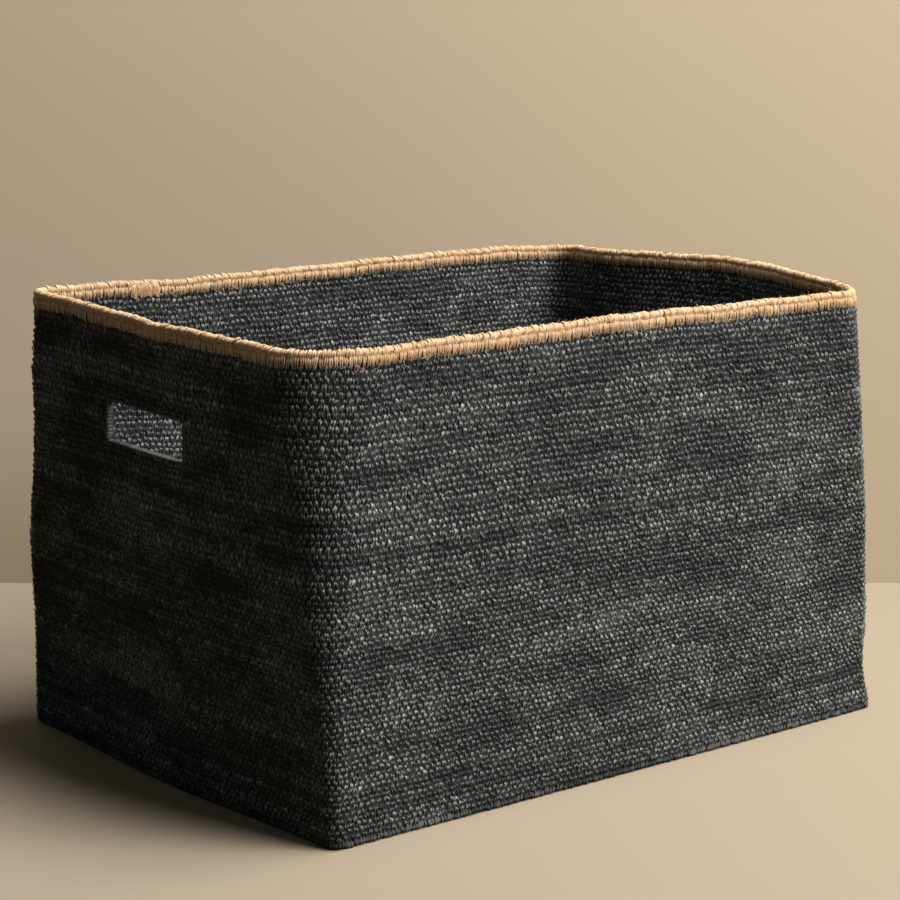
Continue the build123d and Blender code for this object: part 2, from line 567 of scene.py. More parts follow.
@dataclass
class Stitcher:
    """Lays stitches and the rounds behind them on the form."""

    form: BasketForm
    lie: Lie
    looseness: Looseness = field(default_factory=Looseness)
    around: int = 367
    seed: int = 11
    backing_out: float = -1.05 * MM
    backing_swell: float = 0.35 * MM
    most_rows: int = 400
    base_edge_painted_shade: float = -0.9

    def __post_init__(self) -> None:
        """Starts the random draws."""
        self.random = np.random.default_rng(self.seed)
        self.row_tone = self.random.uniform(-1, 1, self.most_rows)
        self.row_shift = np.cumsum(self.random.uniform(0.32, 0.68, self.most_rows)) % 1.0
        # The floor's edge round gets a dark row tone: painted shade where the basket meets the floor.
        self.row_tone[BASE_EDGE_ROW] = self.base_edge_painted_shade

    def out_of(self, face: Face, depth: np.ndarray) -> np.ndarray:
        """Distance outside the outer face of a point that stands depth proud of its own face."""
        if face is Face.OUTER:
            return depth
        return -self.form.wall - depth

    def rounds(
        self,
        sheaf: Sheaf,
        run: RoundRun,
        face: Face,
        span: tuple[float, float],
        first_row: int,
        keep: Optional[Keep] = None,
    ) -> None:
        """Stitches one face of a run of rounds along part of the way round.

        Args:
            sheaf: The mesh to add to.
            run: The rounds.
            face: The face of the wall.
            span: Shares of the way round where the piece begins and ends.
            first_row: Number of the run's lowest round in the whole basket.
            keep: Says which points (share round, height) are stitched.
        """
        rows = np.arange(run.count)
        index = np.arange(math.floor(span[0] * self.around) - 1, math.ceil(span[1] * self.around) + 1)
        row, stitch = [grid.ravel() for grid in np.meshgrid(rows, index, indexing="ij")]
        number = row + first_row
        u = (stitch + self.row_shift[number]) / self.around
        inside = (u >= span[0]) & (u < span[1])
        row, number, u = row[inside], number[inside], u[inside]
        z = run.low + (row + 0.5) * run.height
        z = z + self.lie.rise(u, z)
        if keep is not None:
            kept = keep(u, z)
            row, number, u, z = row[kept], number[kept], u[kept], z[kept]
        self.stitches(sheaf, WALL_STITCH, face, u, z, number, run.height)
        self.backing(sheaf, run, face, span, keep)

    def stitches(
        self,
        sheaf: Sheaf,
        shape: StitchShape,
        face: Face,
        u: np.ndarray,
        z: np.ndarray,
        number: np.ndarray,
        height: float,
        folds: int = 0,
    ) -> None:
        """Adds one stitch at each place.

        Args:
            sheaf: The mesh to add to.
            shape: The stitch.
            face: The face of the wall that it is on.
            u: Shares of the way round.
            z: Heights of the round's middle.
            number: Numbers of the rounds, for shades that change from round to round.
            height: Height of one round.
            folds: Into how many lines the flat map of a long round is folded, or 0.
        """
        draw, loose = self.random, self.looseness
        count, pitch = len(u), 1.0 / self.around
        fold = each(np.floor((u % 1.0) * folds))
        start = u
        u = u + draw.uniform(-1, 1, count) * loose.sideways * pitch
        z = z + draw.uniform(-1, 1, count) * loose.upward * height
        size = 1 + draw.uniform(-1, 1, count) * loose.size
        proud = each(draw.normal(0, 1, count) * loose.outward)
        lean = shape.lean * face.value + draw.uniform(-1, 1, count) * loose.lean
        tone = draw.uniform(0, 1, count)
        band = each(self.row_tone[number] * 0.5)
        up, aside, half, out, turn = map(down, np.array(shape.sections).T)
        sine, cosine = np.sin(np.radians(turn)), np.cos(np.radians(turn))
        # 1 at the crown, falling down the legs: a mask for the painted highlight on the crowns and
        #                                        painted shade on the legs.
        crown = np.exp(-(((up - shape.crown_at) / shape.crown_reach) ** 2))
        for hand in (-1, 1):
            wide = each(size * (1 + draw.uniform(-1, 1, count) * loose.size))
            strand = np.clip(tone + draw.normal(0, loose.shade, count), 0, 1)
            side = hand * aside + half * ACROSS * wide
            side = side + each(lean + draw.normal(0, loose.strand, count)) * up
            side = side + each(draw.normal(0, loose.strand * 0.6, count))
            blank = np.zeros_like(side)
            drop = shape.edge_drop * ACROSS**2 + blank
            at_u = each(u) + side * pitch
            at_z = each(z + draw.normal(0, loose.strand, count) * height)
            at_z = at_z + up * height * each(size) - drop * sine
            depth = out * MM + (proud - drop) * cosine
            grain = np.stack(
                (
                    side * 4 + each(draw.uniform(0, 90, count)),
                    up + each(draw.uniform(0, 90, count)) + blank,
                    crown + band + blank,
                ),
                -1,
            )
            spot_u, spot_z = at_u, at_z
            if folds:
                spot_u = (each((start % 1.0) - start) + at_u) * folds - fold
                spot_z = fold + down(np.linspace(0, 0.8, up.size)) + blank
            if face is Face.INNER:
                at_u, at_z, depth = at_u[..., ::-1], at_z[..., ::-1], depth[..., ::-1]
                spot_u = spot_u[..., ::-1]
            points = self.form.at(at_u, at_z, self.out_of(face, depth))
            sheaf.add_strips(points, each(strand) + blank, grain, np.stack((spot_u, spot_z), -1))

    def backing(
        self,
        sheaf: Sheaf,
        run: RoundRun,
        face: Face,
        span: tuple[float, float],
        keep: Optional[Keep] = None,
    ) -> None:
        """Adds the rounds themselves, which show dark between the stitches, partly by painted shade."""
        columns = max(2, int((span[1] - span[0]) * self.around * 0.5))
        u = np.linspace(span[0], span[1], columns + 1)
        steps = np.arange(run.count * 2 + 1)
        height = run.low + steps / 2 * run.height
        grid_z, grid_u = np.meshgrid(height, u, indexing="ij")
        phase = (steps * np.pi)[:, None] + np.zeros_like(grid_u)
        depth = self.backing_out - self.backing_swell * np.cos(phase)
        real_z = grid_z + self.lie.rise(grid_u, grid_z)
        points = self.form.at(grid_u, real_z, self.out_of(face, depth))
        kept = None
        if face is Face.INNER:
            points, grid_u, real_z = points[:, ::-1], grid_u[:, ::-1], real_z[:, ::-1]
        if keep is not None:
            middle_u = (grid_u[:-1, :-1] + grid_u[1:, 1:]) / 2
            kept = keep(middle_u, (real_z[:-1, :-1] + real_z[1:, 1:]) / 2)
        sheaf.add_dark(points, np.stack((grid_u, real_z), -1), kept)

    def whole_round(
        self,
        sheaf: Sheaf,
        shape: StitchShape,
        face: Face,
        node: str,
        number: int,
        start: float = 0.25,
        waving: bool = True,
    ) -> None:
        """Stitches one face of a single round, all the way round.

        Args:
            sheaf: The mesh to add to.
            shape: The stitch.
            face: The face of the wall.
            node: The frame's piece that the round is.
            number: Number of the round, for its shade.
            start: Where the first stitch is, in stitch widths from the splice.
            waving: Whether the round climbs and waves with the mouth.
        """
        middle, height = centre_and_height(node)
        u = (np.arange(self.around) + start) / self.around
        z = np.full_like(u, middle)
        if waving:
            z = z + self.lie.rise(u, z)
        self.stitches(sheaf, shape, face, u, z, np.full(len(u), number), height, MAP_FOLDS)

    def core(
        self,
        name: str,
        material: bpy.types.Material,
        nodes: tuple[str, str],
        out: float,
        radius: float,
        waving: bool,
    ) -> bpy.types.Object:
        """Makes the loose bundle of grass inside one round, all the way round.

        Args:
            name: Name of the piece.
            material: Its finish.
            nodes: The frame's round, and the frame's core inside it.
            out: How far outside the outer face the bundle's middle is.
            radius: Half its thickness.
            waving: Whether it waves with the mouth.

        Returns:
            The piece.
        """
        lines = 12
        middle, _ = centre_and_height(nodes[0])
        u = np.linspace(0.0005, 0.9995, 2 * self.around)
        grid_a, grid_u = np.meshgrid(np.linspace(0, 2 * np.pi, 9), u, indexing="ij")
        nominal = np.full_like(grid_u, middle)
        lift = self.lie.rise(grid_u, nominal) if waving else 0 * grid_u
        height = nominal + lift + radius * np.sin(grid_a)
        points = self.form.at(grid_u, height, out + radius * np.cos(grid_a))[::-1]
        blank = np.zeros((1, *grid_u.shape))
        fold = np.floor(grid_u * lines)
        spot = np.stack((grid_u * lines - fold, fold + 0.9 * grid_a / (2 * np.pi)), -1)[None, ::-1]
        grain = np.stack((blank + grid_a * 3, blank + grid_u * 300, blank - 0.4), -1)
        sheaf = Sheaf()
        sheaf.add_strips(points[None], blank + 0.3, grain, spot)
        return sheaf.piece(name, material, Slot.CORE, nodes[1])


# ---------------------------------------------------------------------------------------------
# Finishes
# ---------------------------------------------------------------------------------------------
@dataclass(frozen=True)
class Wiring:
    """Adds nodes to one node tree and joins them up."""

    tree: bpy.types.NodeTree

    def feed(self, socket: bpy.types.NodeSocket, value: object) -> None:
        """Links an output to a socket, or sets the socket's own value."""
        if isinstance(value, bpy.types.NodeSocket):
            self.tree.links.new(value, socket)
        else:
            socket.default_value = value

    def add(
        self, kind: str, inputs: dict[int | str, object], output: int | str = 0, **settings: object
    ) -> bpy.types.NodeSocket:
        """Adds one node.

        Args:
            kind: Its type.
            inputs: For each input, the output that feeds it or its own value.
            output: Which of its outputs is wanted.
            settings: The node's own settings.

        Returns:
            The wanted output.
        """
        node = self.tree.nodes.new(kind)
        for setting, value in settings.items():
            setattr(node, setting, value)
        for key, value in inputs.items():
            self.feed(node.inputs[key], value)
        return node.outputs[output]

    def sum(self, kind: str, a: object, b: object) -> bpy.types.NodeSocket:
        """Works out one sum of two values."""
        return self.add("ShaderNodeMath", {0: a, 1: b}, operation=kind)

    def mix(self, factor: object, a: object, b: object) -> bpy.types.NodeSocket:
        """Mixes two colours."""
        return self.add("ShaderNodeMix", {"Factor": factor, 6: a, 7: b}, 2, data_type="RGBA")

    def ramp(self, value: object, low: float, high: float) -> bpy.types.NodeSocket:
        """Smoothly maps low..high to 0..1."""
        inputs = {"Value": value, "From Min": low, "From Max": high}
        return self.add("ShaderNodeMapRange", inputs, "Result", interpolation_type="SMOOTHSTEP")


def grass_group() -> bpy.types.NodeTree:
    """Builds the shared grass effect once.

    Returns:
        A node group that turns each strand's shade, grain and crown into a colour, a roughness
        and a height.
    """
    name = "Stitched Grass"
    if name in bpy.data.node_groups:
        return bpy.data.node_groups[name]
    group = bpy.data.node_groups.new(name, "ShaderNodeTree")
    face = group.interface
    for label in ("Deep Colour", "Strand Colour", "Pale Colour"):
        face.new_socket(label, in_out="INPUT", socket_type="NodeSocketColor")
    for label in (
        "Streakiness", "Crown Light", "Glint Share", "Patchiness", "Roughness Low", "Roughness High"
    ):
        face.new_socket(label, in_out="INPUT", socket_type="NodeSocketFloat")
    face.new_socket("Colour", in_out="OUTPUT", socket_type="NodeSocketColor")
    face.new_socket("Roughness", in_out="OUTPUT", socket_type="NodeSocketFloat")
    face.new_socket("Height", in_out="OUTPUT", socket_type="NodeSocketFloat")
    inside = group.nodes.new("NodeGroupInput").outputs
    outside = group.nodes.new("NodeGroupOutput").inputs
    wire = Wiring(group)
    tone = wire.add("ShaderNodeAttribute", {}, "Fac", attribute_name="tone")
    grain = wire.add("ShaderNodeAttribute", {}, "Vector", attribute_name="grain")
    across, along, crown = wire.add("ShaderNodeSeparateXYZ", {0: grain}).node.outputs
    stretched = {0: wire.sum("MULTIPLY", across, 1.5), 1: wire.sum("MULTIPLY", along, 2.4)}
    place = wire.add("ShaderNodeCombineXYZ", stretched)
    fibre = wire.add("ShaderNodeTexNoise", {"Vector": place, "Scale": 1.0, "Detail": 3.0}, "Fac")
    place = wire.add("ShaderNodeTexCoord", {}, "Object")
    place = wire.add("ShaderNodeMapping", {"Vector": place, "Scale": (1.0, 1.0, 2.6)})
    clouds = {"Vector": place, "Scale": 14.0, "Detail": 4.0, "Roughness": 0.62}
    patch = wire.add("ShaderNodeTexNoise", clouds, "Fac")
    worn = wire.sum("MULTIPLY", wire.sum("SUBTRACT", patch, 0.5), inside["Patchiness"])
    shade = wire.sum("MULTIPLY", tone, 0.50)
    # The crown term lightens each stitch's crown and leaves its legs dark: a painted highlight and
    # painted shade, partly crowns that are really rubbed paler.
    for part, weight in (
        (wire.ramp(fibre, 0.32, 0.68), inside["Streakiness"]),
        (crown, inside["Crown Light"]),
        (worn, 2.2),
    ):
        shade = wire.sum("ADD", shade, wire.sum("MULTIPLY", part, weight))
    body = wire.ramp(shade, 0.05, 1.40)
    base = wire.mix(body, inside["Deep Colour"], inside["Strand Colour"])
    # Glint: a few strands, more of them in worn patches, turn pale at their crowns. This is a painted
    # highlight, partly strands that really are paler.
    chance = wire.sum("SUBTRACT", 1.0, inside["Glint Share"])
    chance = wire.sum("SUBTRACT", chance, wire.sum("MULTIPLY", worn, 0.8))
    glint = wire.ramp(wire.sum("SUBTRACT", tone, chance), 0.0, 0.08)
    glint = wire.sum("MULTIPLY", glint, wire.ramp(crown, 0.30, 0.90))
    wire.feed(outside["Colour"], wire.mix(glint, base, inside["Pale Colour"]))
    smooth, coarse = inside["Roughness Low"], inside["Roughness High"]
    rough = wire.add("ShaderNodeMix", {"Factor": wire.ramp(crown, 0.0, 0.7), 2: coarse, 3: smooth})
    wire.feed(outside["Roughness"], rough)
    wire.feed(outside["Height"], fibre)
    return group


@dataclass(frozen=True)
class GrassFinish:
    """Look of one kind of grass."""

    name: str
    deep: tuple[float, float, float]
    strand: tuple[float, float, float]
    # Pale colour of the glints: a painted highlight, partly strands that really are paler.
    pale: tuple[float, float, float]
    streakiness: float = 0.6
    crown_painted_highlight: float = 0.5
    glint_share: float = 0.06
    patchiness: float = 0.9
    rough: tuple[float, float] = (0.42, 0.7)
    specular: float = 0.5
    bump: float = 0.5
    bump_depth: float = 0.25 * MM

    def material(self) -> bpy.types.Material:
        """Makes the material, with the shared grass effect and this finish's own values."""
        material = bpy.data.materials.new(self.name)
        material.use_nodes = True
        shader = material.node_tree.nodes["Principled BSDF"]
        wire = Wiring(material.node_tree)
        grass = material.node_tree.nodes.new("ShaderNodeGroup")
        grass.node_tree = grass_group()
        for label, value in {
            "Deep Colour": (*self.deep, 1),
            "Strand Colour": (*self.strand, 1),
            "Pale Colour": (*self.pale, 1),
            "Streakiness": self.streakiness,
            "Crown Light": self.crown_painted_highlight,
            "Glint Share": self.glint_share,
            "Patchiness": self.patchiness,
            "Roughness Low": self.rough[0],
            "Roughness High": self.rough[1],
        }.items():
            grass.inputs[label].default_value = value
        relief = {"Strength": self.bump, "Distance": self.bump_depth, "Height": grass.outputs["Height"]}
        wire.feed(shader.inputs["Normal"], wire.add("ShaderNodeBump", relief, "Normal"))
        wire.feed(shader.inputs["Base Color"], grass.outputs["Colour"])
        wire.feed(shader.inputs["Roughness"], grass.outputs["Roughness"])
        shader.inputs["Specular IOR Level"].default_value = self.specular
        return material


BLACK_GRASS = GrassFinish(
    name="black_grass",
    deep=(0.039, 0.040, 0.0382),
    strand=(0.198, 0.204, 0.192),
    pale=(0.38, 0.395, 0.37),
    glint_share=0.08,
    patchiness=1.75,
    rough=(0.34, 0.9),
    specular=0.6,
)
NATURAL_GRASS = GrassFinish(
    name="natural_grass",
    deep=(0.68, 0.385, 0.175),
    strand=(0.92, 0.63, 0.365),
    pale=(0.92, 0.73, 0.50),
    streakiness=0.95,
    crown_painted_highlight=0.18,
    glint_share=0.06,
    patchiness=0.5,
    rough=(0.52, 0.80),
    specular=0.35,
)
CORE_GRASS = GrassFinish(
    name="core_grass",
    deep=(0.34, 0.165, 0.065),
    strand=(0.60, 0.37, 0.18),
    pale=(0.60, 0.40, 0.22),
    glint_share=0.0,
)
DARK_CORE_GRASS = GrassFinish(
    name="dark_core_grass",
    deep=(0.006, 0.006, 0.0055),
    strand=(0.04, 0.04, 0.038),
    pale=(0.1, 0.1, 0.1),
    glint_share=0.0,
)
GREY_GRASS = GrassFinish(
    name="grey_edging_grass",
    deep=(0.012, 0.012, 0.0115),
    strand=(0.14, 0.144, 0.136),
    pale=(0.25, 0.25, 0.24),
    glint_share=0.03,
)


# ---------------------------------------------------------------------------------------------
# Walls
# ---------------------------------------------------------------------------------------------
@dataclass
class Walls:
    """The black walls: four bands of stitched rounds, each in pieces that end at the corners."""

    stitcher: Stitcher
    material: bpy.types.Material
    counts: tuple[int, ...] = (43, 15, 7, 12)

    def bands(self) -> list[RoundRun]:
        """The bands from the floor up, with their heights from the frame."""
        nodes = ("lower_wall_rounds", "middle_wall_rounds", "front_slot_rounds", "upper_wall_rounds")
        names = ("lower_wall", "middle_wall", "slot_wall", "upper_wall")
        runs = []
        for name, node, count in zip(names, nodes, self.counts):
            low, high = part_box(node)
            runs.append(RoundRun(name, node, low.z, high.z, count))
        return runs

    def sides(self) -> dict[Side, tuple[float, float]]:
        """Where each wall begins and ends, as shares of the way round."""
        form = self.stitcher.form
        front, right, back, left = form.rim_edges
        corners = ((left, back), (left, front), (right, front), (right, back))
        turns = [form.share_at(x, y) for x, y in corners]
        return dict(zip(Side, zip(turns, turns[1:] + [turns[0] + 1.0])))

    def clear_of_slots(self, u: np.ndarray, z: np.ndarray) -> np.ndarray:
        """True where a point of the wall is not in a hand slot."""
        form = self.stitcher.form
        low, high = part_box("left_slot_binding")
        middle = (low.y + high.y) / 2
        place = form.at(u, z, np.zeros_like(u))
        across = np.abs(place[..., 1] - middle) < (high.y - low.y) / 2
        on_short_wall = np.abs(place[..., 0]) > SHORT_WALLS_FROM
        return ~(across & on_short_wall & (z > low.z) & (z < high.z))

    def build(self) -> list[bpy.types.Object]:
        """Stitches every band, side by side, and returns the pieces."""
        pieces = []
        first_row = 0
        for run in self.bands():
            for side, span in self.sides().items():
                for face in Face:
                    sheaf = Sheaf()
                    keep = self.clear_of_slots if side in (Side.LEFT, Side.RIGHT) else None
                    self.stitcher.rounds(sheaf, run, face, span, first_row, keep)
                    name = f"{run.name}_{side.value}_{face.name.lower()}"
                    nodes = self.stands_for(run, side)
                    pieces.append(sheaf.piece(name, self.material, Slot.BLACK, *nodes))
            first_row += run.count
        return pieces

    def stands_for(self, run: RoundRun, side: Side) -> tuple[str, ...]:
        """The frame's bands that a piece of this run and side replaces."""
        if run.node != "front_slot_rounds":
            return (run.node,)
        if side is Side.FRONT:
            return ("front_slot_rounds",)
        if side is Side.BACK:
            return ("back_slot_rounds",)
        return ("front_slot_rounds", "back_slot_rounds")


# ---------------------------------------------------------------------------------------------
# Rim, slots and floor
# ---------------------------------------------------------------------------------------------
@dataclass
class Rim:
    """The two undyed rounds on the mouth, and the splice where the last one is finished off."""

    stitcher: Stitcher
    material: bpy.types.Material
    core_material: bpy.types.Material
    core_radius: float = 1.95 * MM
    around: int = 540
    splice_wraps: int = 12
    looseness: Looseness = field(
        default_factory=lambda: Looseness(0.08, 0.08, 0.2 * MM, 0.14, 0.16, 0.2, 0.05)
    )

    def build(self) -> list[bpy.types.Object]:
        """Makes the rim's pieces."""
        usual = self.stitcher.looseness, self.stitcher.around
        self.stitcher.looseness, self.stitcher.around = self.looseness, self.around
        pieces = [self.lower_round(), self.upper_round()]
        for which in ("lower", "upper"):
            nodes = (f"{which}_rim_round", f"{which}_rim_core")
            middle = -self.stitcher.form.wall / 2
            pieces.append(
                self.stitcher.core(
                    f"{which}_rim_grass", self.core_material, nodes, middle, self.core_radius, True
                )
            )
        pieces.append(self.splice())
        self.stitcher.looseness, self.stitcher.around = usual
        return pieces

    def lower_round(self) -> bpy.types.Object:
        """The round whose long stitches bite down into the last black one, on both faces."""
        node = "lower_rim_round"
        sheaf = Sheaf()
        for face in Face:
            row = LOWER_RIM_ROW + face.value
            self.stitcher.whole_round(sheaf, LOWER_RIM_STITCH, face, node, row, 0.75)
        for inner_spots in sheaf.maps[len(sheaf.maps) // 2:]:
            inner_spots[:, 1] += MAP_FOLDS
        return sheaf.piece("lower_rim_stitches", self.material, Slot.NATURAL, node)

    def upper_round(self) -> bpy.types.Object:
        """The round whose stitches wrap right over the top, as a line of bumps."""
        node = "upper_rim_round"
        sheaf = Sheaf()
        self.stitcher.whole_round(sheaf, UPPER_RIM_STITCH, Face.OUTER, node, UPPER_RIM_ROW)
        return sheaf.piece("upper_rim_stitches", self.material, Slot.NATURAL, node)

    def splice(self) -> bpy.types.Object:
        """A few extra wraps round both rounds, one over the other."""
        low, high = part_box("rim_splice")
        draw = self.stitcher.random
        sheaf = Sheaf()
        reach = (high.x - low.x) / self.stitcher.form.girth(high.z) / 2
        u = np.linspace(-reach * 0.85, reach * 0.85, self.splice_wraps)
        u = u + draw.uniform(-0.15, 0.15, len(u)) / self.stitcher.around
        z = np.full_like(u, (low.z + high.z) / 2 - 0.4 * MM)
        z = z + draw.uniform(-0.4, 0.5, len(u)) * MM + 0.5 * MM * (u < 0)
        # The rim's own stitch, made taller, narrower and prouder, with both ends right down.
        section = np.array(UPPER_RIM_STITCH.sections)
        section[:, 0] = section[:, 0] * 1.25 + 0.06
        section[0, 0] = section[-1, 0] = -1.25
        section[:, 1] = (section[:, 1] - 0.2) * 0.5 + 0.19
        section[:, 3] = (section[:, 3] + 2.3) * 1.22 - 2.3
        shape = StitchShape(tuple(map(tuple, section)), edge_drop=0.8 * MM, lean=0.35)
        rows = np.full(len(u), SPLICE_ROW)
        self.stitcher.stitches(sheaf, shape, Face.OUTER, u, z, rows, high.z - low.z)
        return sheaf.piece("rim_splice_wraps", self.material, Slot.NATURAL, "rim_splice")


@dataclass
class SlotBindings:
    """Thin grass wound round the edge of each hand slot.

    Each section of a wrap is (offset, depth, turn). Offset is away from the slot's middle and
    depth is outward from the wall's outer face, both in millimetres. Turn is the tilt of the
    wrap's face in degrees, as for a stitch.
    """

    stitcher: Stitcher
    material: bpy.types.Material
    binding: float = 1.5 * MM
    pitch: float = 2.5 * MM
    edge_drop: float = 0.45 * MM
    unevenness: float = 0.12 * MM
    short_wall_reach: float = 0.13
    samples: int = 2001
    map_columns: int = 16
    sections: tuple[tuple[float, float, float], ...] = (
        (1.9, -0.5, 0),
        (1.1, 0.7, 10),
        (0.1, 0.25, 60),
        (-0.25, -2.3, 90),
        (0.1, -4.85, 120),
        (1.1, -5.3, 170),
        (1.9, -4.1, 180),
    )

    def build(self) -> list[bpy.types.Object]:
        """Makes both bindings."""
        return [self.one(side) for side in (Side.LEFT, Side.RIGHT)]

    def places(self, low: Vector, high: Vector) -> tuple[np.ndarray, ...]:
        """Where the wraps of one slot are.

        Args:
            low: Lowest corner of the binding's box.
            high: Its highest corner.

        Returns:
            For each wrap, its place on the wall as (y, z), the way out of the slot and the way
            along the slot's edge.
        """
        near, far = low.y + self.binding, high.y - self.binding
        bottom, top = low.z + self.binding, high.z - self.binding
        corners = np.array(((near, bottom), (far, bottom), (far, top), (near, top)))
        wraps = []
        for corner, after, out in zip(corners, np.roll(corners, -1, 0), OUTWARD):
            run = after - corner
            length = float(np.linalg.norm(run))
            count = round(length / self.pitch)
            share = (np.arange(count) + 0.5) / count
            along = np.tile(run / length, (count, 1))
            wraps.append((corner + run * share[:, None], np.tile(out, (count, 1)), along))
        return tuple(np.concatenate(parts) for parts in zip(*wraps))

    def share_at(self, y: np.ndarray, level: float, side: Side) -> np.ndarray:
        """Shares of the way round of places on a short wall, from their y."""
        u = np.linspace(0.0, 1.0, self.samples)
        line = self.stitcher.form.at(u, np.full_like(u, level), np.zeros_like(u))
        way = -1 if side is Side.LEFT else 1
        on = (line[:, 0] * way > SHORT_WALLS_FROM) & (np.abs(line[:, 1]) < self.short_wall_reach)
        order = np.argsort(line[on, 1])
        return np.interp(y, line[on, 1][order], u[on][order])

    def one(self, side: Side) -> bpy.types.Object:
        """The binding of one slot: wraps all the way round its edge, through the wall."""
        node = f"{side.value}_slot_binding"
        draw = self.stitcher.random
        low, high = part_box(node)
        place, out, along = [parts[:, None, None] for parts in self.places(low, high)]
        count = len(place)
        offset, depth, turn = map(down, np.array(self.sections).T)
        turn = np.radians(turn)
        blank = np.zeros((count, offset.size, ACROSS.size))
        drop = self.edge_drop * ACROSS**2
        lean = each(draw.uniform(-0.3, 0.5, count)) * turn / np.pi
        width = each(draw.uniform(0.42, 0.6, count))
        slide = (width * ACROSS + lean) * self.pitch
        push = offset * MM + drop * np.sin(turn) + blank
        spread = each(draw.normal(0, self.unevenness, count))
        at = place + out * push[..., None] + along * slide[..., None]
        at_u = self.share_at(at[..., 0], (low.z + high.z) / 2, side)
        proud = depth * MM + (spread - drop) * np.cos(turn)
        points = self.stitcher.form.at(at_u, at[..., 1], proud)
        tone = each(draw.uniform(0, 1, count)) + blank
        # Lighter on the wrap's outer half and darker towards the inside: painted highlight along the
        # slot's edge and painted shade inside it.
        crown = np.clip(1.4 + depth / 2.5, -0.8, 1.0) + blank
        grain = np.stack((slide * 900 + tone * 90, turn * 2 + tone * 50 + crown, crown), -1)
        row, column = np.divmod(np.arange(count), self.map_columns)
        spot_u = each(column) + ACROSS * 0.4 + blank
        spot_z = each(row) + down(np.linspace(0, 0.85, offset.size)) + blank
        spot = np.stack((spot_u, spot_z), -1)
        if side is Side.RIGHT:
            points, spot = points[:, :, ::-1], spot[:, :, ::-1]
        sheaf = Sheaf()
        sheaf.add_strips(points, tone, grain, spot)
        return sheaf.piece(f"{side.value}_slot_wraps", self.material, Slot.EDGING, node)


